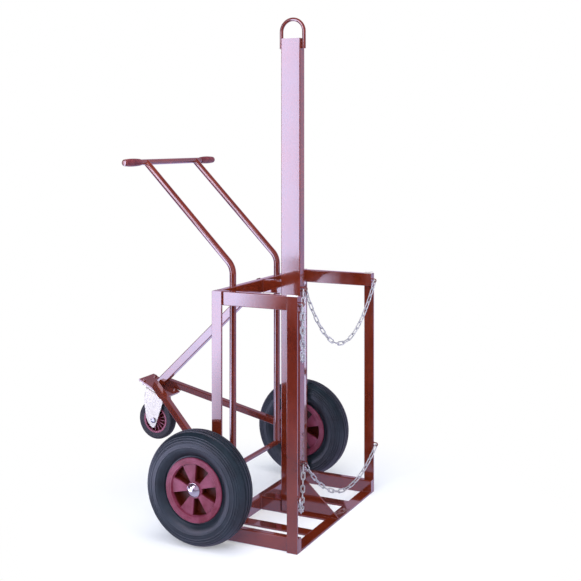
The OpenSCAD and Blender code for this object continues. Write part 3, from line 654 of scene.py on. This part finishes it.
slope = mmMove(0, wheels["axleY"], wheels["axleZ"])
slope = slope @ Matrix.Rotation(math.radians(castor["tiltDeg"]), 4, "X")
castorFrame = slope @ mmMove(0, castor["run"], castor["headZ"])
castorAxle = castorFrame @ mmMove(0, -castor["trail"], -castor["drop"]) @ quarterY


def between(table, z):
    # the outline's Y at a height, read off a short table of (height, Y)
    for (z0, y0), (z1, y1) in zip(table, table[1:]):
        if z1 <= z <= z0:
            t = (z0 - z) / (z0 - z1)
            return y0 + (y1 - y0) * t
    return table[-1][1]


def forkSheet():
    # one sheet, pressed to an upside-down U whose legs narrow towards the axle
    top, half, bend = castor["crownZ"], castor["halfW"], castor["bendR"]
    low = castor["front"][-1][0]
    legSteps, bendSteps, topSteps, wideSteps = 34, 8, 12, 16
    leg = [(-half, low + (top - bend - low) * (i / legSteps)) for i in range(legSteps + 1)]
    for k in range(1, bendSteps):
        a = math.pi / 2 * k / bendSteps
        leg.append((-half + bend - bend * math.cos(a), top - bend + bend * math.sin(a)))
    crown = [(-half + bend + (2 * half - 2 * bend) * k / topSteps, top) for k in range(topSteps + 1)]
    path = leg + crown + [(-x, z) for x, z in reversed(leg)]
    build = bmesh.new()
    rows = []
    for x, z in path:
        near, far = between(castor["front"], z), between(castor["back"], z)
        rows.append([build.verts.new(castorFrame @ mmPoint(x, near + (far - near) * k / wideSteps, z))
                     for k in range(wideSteps + 1)])
    for here, there in zip(rows, rows[1:]):
        for k in range(wideSteps):
            build.faces.new((here[k], here[k + 1], there[k + 1], there[k]))
    return build


def hexHead(build, place, radius, tall, bore=0.0):
    # a six-sided head or nut with turned-off corners
    flat, hole, steps = radius * math.cos(math.pi / 6), max(bore, 0.01), 48
    rings = []
    for kind in ("low", "foot", "high", "top", "lip"):
        ring = []
        for i in range(steps):
            a = 2 * math.pi * i / steps
            reach = flat / math.cos((a + math.pi / 6) % (math.pi / 3) - math.pi / 6)
            over = (reach - flat) * 0.55
            r, u = {"low": (hole, 0), "foot": (reach, 0), "high": (reach, tall - 0.25 - over),
                    "top": (flat * 0.96, tall), "lip": (hole, tall)}[kind]
            ring.append(build.verts.new(place @ roundPoint(r, a, u)))
        rings.append(ring)
    for here, there in zip(rings, rings[1:] + (rings[:1] if bore else [])):
        for k in range(steps):
            n = (k + 1) % steps
            build.faces.new((here[k], here[n], there[n], there[k]))
    if not bore:
        build.faces.new(rings[0])
        build.faces.new(rings[-1])


def threadedEnd(build, place, radius, length):
    # rings stand for the thread, which is too fine to show as a spiral
    pitch, deep = 0.6, 0.45
    line, steps = [(0, 0)], int(length / pitch)
    for i in range(steps + 1):
        line.append((radius - (deep if i % 2 else 0.0), length * i / steps))
    line += [(radius - 2 * deep, length + pitch / 2), (0, length + pitch / 2)]
    lathe(build, line, place, 24)


fork = addPiece("forkPressing", forkSheet(), "castor_zinc", "castor_swivel", "castor_fork")
thick = fork.modifiers.new("sheetThickness", "SOLIDIFY")
thick.thickness = castor["steel"] * 0.001
thick.offset = -1
soft = fork.modifiers.new("shearedEdge", "BEVEL")
soft.width, soft.segments, soft.limit_method = castor["edge"] * 0.001, 2, "ANGLE"

build = bmesh.new()
tread = castor["tread"] + [(r, -u) for r, u in reversed(castor["tread"])]
lathe(build, easeCorners(tread, castor["treadEase"] + castor["treadEase"][::-1]), castorAxle, 96)
addPiece("castorTread", build, "castor_rubber", "castor_wheel", "castor_tyre")

bolts, nuts = bmesh.new(), bmesh.new()
shank, shankR = castor["plateT"] + castor["steel"] + castor["nutT"], castor["boltR"]
for x in (-castor["boltX"], castor["boltX"]):
    for y in (-castor["boltY"], castor["boltY"]):
        spot = castorFrame @ mmMove(x, y, castor["plateT"])
        hexHead(bolts, spot, castor["headR"], castor["headT"])
        threadedEnd(bolts, spot @ mmMove(0, 0, -shank) @ halfX, shankR, castor["boltTail"])
        lathe(bolts, [(0, 0), (shankR, 0), (shankR, -shank), (0, -shank)], spot, 24)
        under = castorFrame @ mmMove(x, y, -castor["steel"]) @ halfX
        hexHead(nuts, under, castor["headR"], castor["nutT"], shankR + castor["play"])
addPiece("castorBoltHeads", bolts, "red_oxide_paint", "frame", "castor_bolts")
addPiece("castorNutsHex", nuts, "bright_steel", "frame", "castor_nuts")

build = bmesh.new()
out, axleR = castor["forkOut"], castor["axleR"]
reach = out + castor["axleNutT"] + castor["axlePast"]
hexHead(build, castorAxle @ mmMove(0, 0, -out) @ halfX, castor["axleHeadR"], castor["headT"])
lathe(build, [(0, -out), (axleR, -out), (axleR, reach), (0, reach)], castorAxle, 32)
threadedEnd(build, castorAxle @ mmMove(0, 0, reach), axleR, castor["axleTail"])
addPiece("castorAxleBolt", build, "bright_steel", "castor_swivel", "castor_axle_bolt")
build = bmesh.new()
bore = axleR + castor["play"]
hexHead(build, castorAxle @ mmMove(0, 0, out), castor["axleHeadR"], castor["axleNutT"], bore)
addPiece("castorAxleNut", build, "bright_steel", "castor_swivel", "castor_axle_nut")
print("castor made")

# weld beads: laid by hand in small overlapping ripples, then painted over with the frame
welds = {
    "bead": 1.5, "fine": 1.1, "ripple": 3.4, "endPart": 0.7,
    "railIn": 323, "railOut": 348, "railZ": (0, 826),
    "tieY": (40.4, 120.6), "barX": (-165, 0, 165), "handleX": 180, "eyeRingR": 2.4,
    "armX": 318, "armEndX": 38, "armHalf": 12.9,
    "eyes": [(9, -40.3, 848), (9, -40.3, 190), (335.5, -190.3, 848), (352, -190.3, 190)],
}


def weldRun(build, path, size=None, closed=False):
    # a rippled bead along straight runs between the points given, half sunk into both plates
    size = size or welds["bead"]
    spots, radii = [], []
    legs = list(zip(path, path[1:] + path[:1] if closed else path[1:]))
    total = 0.0
    for start, end in legs:
        start, end = Vector(start), Vector(end)
        count = max(2, int((end - start).length / (welds["ripple"] / 3)))
        for i in range(count):
            along = total + (end - start).length * i / count
            wave = abs(math.sin(math.pi * along / welds["ripple"]))
            # a hand's pace is never quite even
            drift = 0.12 * math.sin(along * 0.37) + 0.08 * math.sin(along * 0.91 + 1.3)
            spots.append(start + (end - start) * i / count)
            radii.append(size * (0.82 + 0.22 * wave + drift))
        total += (end - start).length
    if not closed:
        spots.append(Vector(path[-1]))
        radii[0] = size * welds["endPart"]
        radii.append(radii[0])
    sweep(build, spots, radii, 8, closed)


beads = bmesh.new()
railIn, railOut = welds["railIn"] - 0.4, welds["railOut"] + 0.4
for s in (-1, 1):
    for z in welds["railZ"]:
        low, high = z + 2, z + 48
        # posts on the side rails, outside and under
        for y in (-149.6, 105.6):
            weldRun(beads, [(s * railOut, y, low), (s * railOut, y, high)], welds["fine"])
        if z:
            under = s * (railOut - 0.8)
            for y in (-186, 110):
                weldRun(beads, [(under, y, z - 0.4), (under, y + 32, z - 0.4)], welds["fine"])
        # rear rail between the side rails
        weldRun(beads, [(s * railIn, 120.6, low), (s * railIn, 120.6, high)])
        weldRun(beads, [(s * railIn, 124, z + 49.8), (s * railIn, 143, z + 49.8)], welds["fine"])
    # ties between the mast and the rear rails
    for y in welds["tieY"]:
        weldRun(beads, [(s * 12.8, y, 829), (s * 12.8, y, 873)])
        weldRun(beads, [(s * 25.2, y, 3), (s * 25.2, y, 47)])
    # sill to side rails
    weldRun(beads, [(s * railIn, -187, 6.2), (s * railIn, -150, 6.2)])
    # gusset up the mast and along the floor
    weldRun(beads, [(s * 3.2, -40.4, 10), (s * 3.2, -40.4, 139)])
    weldRun(beads, [(s * 3.2, -184, 6.3), (s * 3.2, -44, 6.3)])
    for e in (-1, 1):
        # handle tubes on the rear top rail, lifting eye legs down the mast
        x = s * welds["handleX"] + e * 6.5
        weldRun(beads, [(x, 147.6, 829), (x, 147.6, 873)])
        weldRun(beads, [(s * 4.8, e * 41.4, 1758), (s * 4.8, e * 41.4, 1790)], 2.0)
    # axle on the rear posts
    for z in (193.5, 206.5):
        weldRun(beads, [(s * 348.6, 147.4, z), (s * 355.4, 147.4, z)])
    # chain eyes, a small ring round each leg
    for x, y, eyeZ in welds["eyes"]:
        for z in (eyeZ - chains["eyeHalf"], eyeZ + chains["eyeHalf"]):
            turns = [2 * math.pi * k / 12 for k in range(12)]
            ring = [(s * x + welds["eyeRingR"] * math.cos(a), y, z + welds["eyeRingR"] * math.sin(a))
                    for a in turns]
            weldRun(beads, ring, welds["fine"], closed=True)
for y in welds["tieY"]:
    weldRun(beads, [(-11, y, 876.2), (11, y, 876.2)], welds["fine"])
    weldRun(beads, [(-11, y, 825.8), (11, y, 825.8)])
    weldRun(beads, [(-22, y, 50.2), (22, y, 50.2)], welds["fine"])
for x in welds["barX"]:
    weldRun(beads, [(x - 23, -148, 6.0), (x + 23, -148, 6.0)], welds["fine"])
    if x:
        weldRun(beads, [(x - 23, 120.6, 6.4), (x + 23, 120.6, 6.4)])
weldRun(beads, [(x * 20.4, y * 40.4, 6.6) for x, y in ((-1, -1), (1, -1), (1, 1), (-1, 1))], closed=True)
# cross bar on the handle tubes, an oval that follows the round bar
lean = Vector((0, 1, 1)).normalized()
across, up = Vector((1, 0, 0)), Vector((0, -1, 1)).normalized()
barR, ovalX, ovalUp = 11.3, 12.6, 9.6
for s in (-1, 1):
    foot = Vector((s * welds["handleX"], grips["y"], grips["z"])) - lean * 11.2
    ring = []
    for k in range(20):
        a = 2 * math.pi * k / 20
        rise = barR - math.sqrt(max(0.0, barR ** 2 - (ovalUp * math.sin(a)) ** 2))
        ring.append(foot + across * ovalX * math.cos(a) + up * ovalUp * math.sin(a) + lean * rise)
    weldRun(beads, [tuple(p) for p in ring], 1.8, closed=True)
# castor arms on the mounting plate, in the slope's own axes
seat = castor["headZ"] + castor["plateT"] + 0.4
# how far an arm comes in for each step up the slope
lead = (welds["armX"] - welds["armEndX"]) / castor["run"]
wide = welds["armHalf"] * math.hypot(1, lead)


def onSlope(x, run):
    return tuple((slope @ mmPoint(x, run, seat)) * 1000)


for s in (-1, 1):
    for e in (-1, 1):
        weldRun(beads, [onSlope(s * (welds["armX"] - run * lead + e * wide), run)
                        for run in (castor["run"] - 68, castor["run"] + 2)])
    end = castor["run"] + 4
    weldRun(beads, [onSlope(s * (welds["armX"] - end * lead) + x, end + 0.5) for x in (-12, 12)])
addPiece("weldBeads", beads, "red_oxide_paint", "frame", sharpDeg=80)
print("welds made")

# floor and light
studio = {
    "floorHalfM": 14.0, "floorColor": "#fbfcff", "floorRoughness": 0.9,
    "nearM": 0.3, "farM": 1.05, "nearWhite": 0.2,
    # what the gloss sees: the floor, lilac near the object and dim far out to the left, and the room
    "edgeFromM": 1.15, "edgeToM": 1.8, "nearDim": 0.85, "floorTint": "#d6c8ff", "floorDim": 0.05,
    "dimFloorM": -2.2, "whiteFloorM": 0.5, "backdropWay": (0.9, -0.1, -0.45),
    "dimFrom": 0.2, "whiteFrom": 1.02, "roomDim": 0.1, "glossTint": "#f3d6ff",
    "frontWay": (-0.8, -0.55, 0.25), "frontFrom": 0.45, "frontLevel": 0.5,
    # the soft light of the room on the colours
    "roomLight": 0.5, "roomTint": "#c6deff",
    "lamps": [
        # name, place, what it faces, size in metres, watts, tint, and whether it shows only in the gloss
        ("leftPanel", (-3.7, -0.5, 2.6), (0, 0, 0.7), (3.2, 2.6), 135.0, "#eef0ff", False),
        ("topPanel", (-0.6, -0.6, 4.2), (0, 0, 0.75), (3.4, 3.4), 120.0, "#fffaf4", False),
        ("frontPanel", (-1.6, -4.2, 2.2), (0, 0, 0.75), (2.4, 2.4), 60.0, "#fff6ee", False),
        # these two draw the pale streak along the handle's round tubes
        ("highPanel", (-4.2, 1.1, 2.9), (-0.1, 0.45, 1.2), (1.4, 1.5), 50.0, "#f0dcf4", True),
        ("lowPanel", (-4.2, 3.55, 1.35), (-0.1, 0.45, 1.2), (2.0, 2.0), 45.0, "#f0dcf4", True),
    ],
    # the bright sweep to the left, whose pale sheen shows on the left faces: it lies on the floor from a
    # corner near the object, runs out along one edge, and stands up at its end
    "sweepCorner": (-0.9, 0.28, 0.004), "sweepTurnDeg": 154.4, "wallShiftM": 0.25,
    "sweepLong": 7.5, "sweepWide": 1.7, "sweepTall": 3.4,
    "sweepWatts": 24.0, "sweepTint": "#dbdaff", "sweepSoftM": 0.36, "sweepNearM": 2.6, "sweepNearPart": 0.6,
}


def addLamp(name, size, watts, tint, onlyGloss):
    # a panel that either lights the object, or shows only in its gloss
    lamp = bpy.data.lights.new(name, "AREA")
    lamp.shape = "RECTANGLE"
    lamp.size, lamp.size_y = size
    lamp.energy = watts
    lamp.color = hexToLinear(tint)[:3]
    holder = bpy.data.objects.new(name, lamp)
    holder.visible_camera = False
    holder.visible_diffuse = not onlyGloss
    holder.visible_glossy = onlyGloss
    scene.collection.objects.link(holder)
    return holder


def makeSweepLamp(name, middle, turn, size, nearPart):
    # a gloss panel, soft along its front edge, with this part of its brightness at its near end
    holder = addLamp(name, size, studio["sweepWatts"] * size[0] * size[1], studio["sweepTint"], True)
    holder.matrix_world = Matrix.Translation(middle) @ turn
    holder.data.use_nodes = True
    tree = holder.data.node_tree
    spot = addNode(tree, "ShaderNodeNewGeometry")
    parts = addNode(tree, "ShaderNodeSeparateXYZ", None, {"Vector": spot.outputs["Parametric"]})
    along = addNode(tree, "ShaderNodeMapRange", None, {
        "Value": parts.outputs["X"], "From Min": 0.0, "From Max": studio["sweepNearM"] / size[0],
        "To Min": nearPart, "To Max": 1.0})
    across = addNode(tree, "ShaderNodeMapRange", None, {
        "Value": parts.outputs["Y"], "From Min": 0.0, "From Max": studio["sweepSoftM"] / size[1],
        "To Min": 0.0, "To Max": 1.0})
    level = addNode(tree, "ShaderNodeMath", {"operation": "MULTIPLY"},
                    {0: along.outputs["Result"], 1: across.outputs["Result"]})
    tree.links.new(level.outputs[0], tree.nodes["Emission"].inputs["Strength"])


def addMirrored(tree, ray):
    # one for the rays that the gloss sends out
    made = addNode(tree, "ShaderNodeMath", {"operation": "MAXIMUM"},
                   {0: ray.outputs["Is Glossy Ray"], 1: ray.outputs["Is Transmission Ray"]})
    return made.outputs[0]


def makeFloor():
    half = studio["floorHalfM"]
    mesh = bpy.data.meshes.new("floor")
    corners = [(-half, -half, 0), (half, -half, 0), (half, half, 0), (-half, half, 0)]
    mesh.from_pydata(corners, [], [(0, 1, 2, 3)])
    floor = bpy.data.objects.new("floor", mesh)
    scene.collection.objects.link(floor)
    made, tree, shader, place = newMaterial("paleStudioFloor")
    shader.inputs["Base Color"].default_value = hexToLinear(studio["floorColor"])
    shader.inputs["Roughness"].default_value = studio["floorRoughness"]
    ray = addNode(tree, "ShaderNodeLightPath")
    mirrored = addMirrored(tree, ray)
    shown = addNode(tree, "ShaderNodeMath", {"operation": "MAXIMUM"},
                    {0: mirrored, 1: ray.outputs["Is Camera Ray"]})
    # the sweep is white further out, and near the object the floor keeps its shadow
    away = addNode(tree, "ShaderNodeVectorMath", {"operation": "LENGTH"}, {0: place})
    fade = addNode(tree, "ShaderNodeMapRange", {"interpolation_type": "SMOOTHSTEP"}, {
        "Value": away.outputs["Value"], "From Min": studio["nearM"], "From Max": studio["farM"],
        "To Min": studio["nearWhite"], "To Max": 1.0})
    amount = addNode(tree, "ShaderNodeMath", {"operation": "MULTIPLY"},
                     {0: fade.outputs["Result"], 1: shown.outputs[0]})
    white = addNode(tree, "ShaderNodeEmission", None, {"Color": (1, 1, 1, 1), "Strength": 1.0})
    cover = addNode(tree, "ShaderNodeMixShader", None,
                    {"Fac": amount.outputs[0], 1: shader.outputs["BSDF"], 2: white.outputs["Emission"]})
    # in the gloss the floor is lilac and dims to the left; near the object a little of its shadow is left
    behind = addNode(tree, "ShaderNodeVectorMath", {"operation": "DOT_PRODUCT"},
                     {0: place, 1: studio["backdropWay"]})
    dim = addNode(tree, "ShaderNodeMapRange", None, {
        "Value": behind.outputs["Value"],
        "From Min": studio["dimFloorM"], "From Max": studio["whiteFloorM"],
        "To Min": studio["floorDim"], "To Max": 1.0})
    room = addNode(tree, "ShaderNodeEmission", None, {
        "Color": hexToLinear(studio["floorTint"]), "Strength": dim.outputs["Result"]})
    edge = addNode(tree, "ShaderNodeMapRange", {"interpolation_type": "SMOOTHSTEP"}, {
        "Value": away.outputs["Value"], "From Min": studio["edgeFromM"], "From Max": studio["edgeToM"],
        "To Min": studio["nearDim"], "To Max": 1.0})
    past = addNode(tree, "ShaderNodeMath", {"operation": "MULTIPLY"},
                   {0: edge.outputs["Result"], 1: mirrored})
    whole = addNode(tree, "ShaderNodeMixShader", None,
                    {"Fac": past.outputs[0], 1: cover.outputs["Shader"], 2: room.outputs["Emission"]})
    tree.links.new(whole.outputs["Shader"], tree.nodes["Material Output"].inputs["Surface"])
    mesh.materials.append(made)


def makeLamps():
    for name, spot, aim, size, watts, tint, onlyGloss in studio["lamps"]:
        holder = addLamp(name, size, watts, tint, onlyGloss)
        holder.location = spot
        holder.rotation_euler = (Vector(aim) - Vector(spot)).to_track_quat("-Z", "Y").to_euler()
    spin = Matrix.Rotation(math.radians(studio["sweepTurnDeg"]), 4, "Z")
    corner = Vector(studio["sweepCorner"])
    long, wide, tall = studio["sweepLong"], studio["sweepWide"], studio["sweepTall"]
    makeSweepLamp("sweepFloor", corner + spin @ Vector((long / 2, -wide / 2, 0)), spin @ halfX, (long, wide),
                  studio["sweepNearPart"])
    wall = spin @ quarterY @ Matrix.Rotation(math.pi, 4, "Z")
    middle = corner + spin @ Vector((long, studio["wallShiftM"] - wide / 2, tall / 2))
    makeSweepLamp("sweepWall", middle, wall, (tall, wide), 1.0)


def makeWorld():
    world = bpy.data.worlds.new("whiteStudio")
    world.use_nodes = True
    scene.world = world
    tree = world.node_tree
    # white to the eye; in the gloss bright low on the right, half as bright from the front left, else dim
    way = addNode(tree, "ShaderNodeTexCoord")
    turn = addNode(tree, "ShaderNodeVectorMath", {"operation": "DOT_PRODUCT"},
                   {0: way.outputs["Generated"], 1: studio["backdropWay"]})
    sweepLight = addNode(tree, "ShaderNodeMapRange", None, {
        "Value": turn.outputs["Value"], "From Min": studio["dimFrom"], "From Max": studio["whiteFrom"],
        "To Min": studio["roomDim"], "To Max": 1.0})
    front = addNode(tree, "ShaderNodeVectorMath", {"operation": "DOT_PRODUCT"},
                    {0: way.outputs["Generated"], 1: studio["frontWay"]})
    frontLight = addNode(tree, "ShaderNodeMapRange", None, {
        "Value": front.outputs["Value"], "From Min": studio["frontFrom"], "From Max": 1.0,
        "To Min": 0.0, "To Max": studio["frontLevel"]})
    around = addNode(tree, "ShaderNodeMath", {"operation": "ADD"},
                     {0: sweepLight.outputs["Result"], 1: frontLight.outputs["Result"]})
    ray = addNode(tree, "ShaderNodeLightPath")
    mirrored = addMirrored(tree, ray)
    inside = addNode(tree, "ShaderNodeMix", None, {
        "Factor": mirrored, "A": studio["roomLight"], "B": around.outputs[0]})
    level = addNode(tree, "ShaderNodeMix", None, {
        "Factor": ray.outputs["Is Camera Ray"], "A": inside.outputs["Result"], "B": 1.0})
    back = tree.nodes["Background"]
    unseen = addNode(tree, "ShaderNodeMix", {"data_type": "RGBA"}, {
        "Factor": mirrored, "A": hexToLinear(studio["roomTint"]), "B": hexToLinear(studio["glossTint"])})
    tint = addNode(tree, "ShaderNodeMix", {"data_type": "RGBA"}, {
        "Factor": ray.outputs["Is Camera Ray"], "A": unseen.outputs["Result"], "B": (1, 1, 1, 1)})
    tree.links.new(tint.outputs["Result"], back.inputs["Color"])
    tree.links.new(level.outputs["Result"], back.inputs["Strength"])


makeFloor()
makeLamps()
makeWorld()
print("studio set")
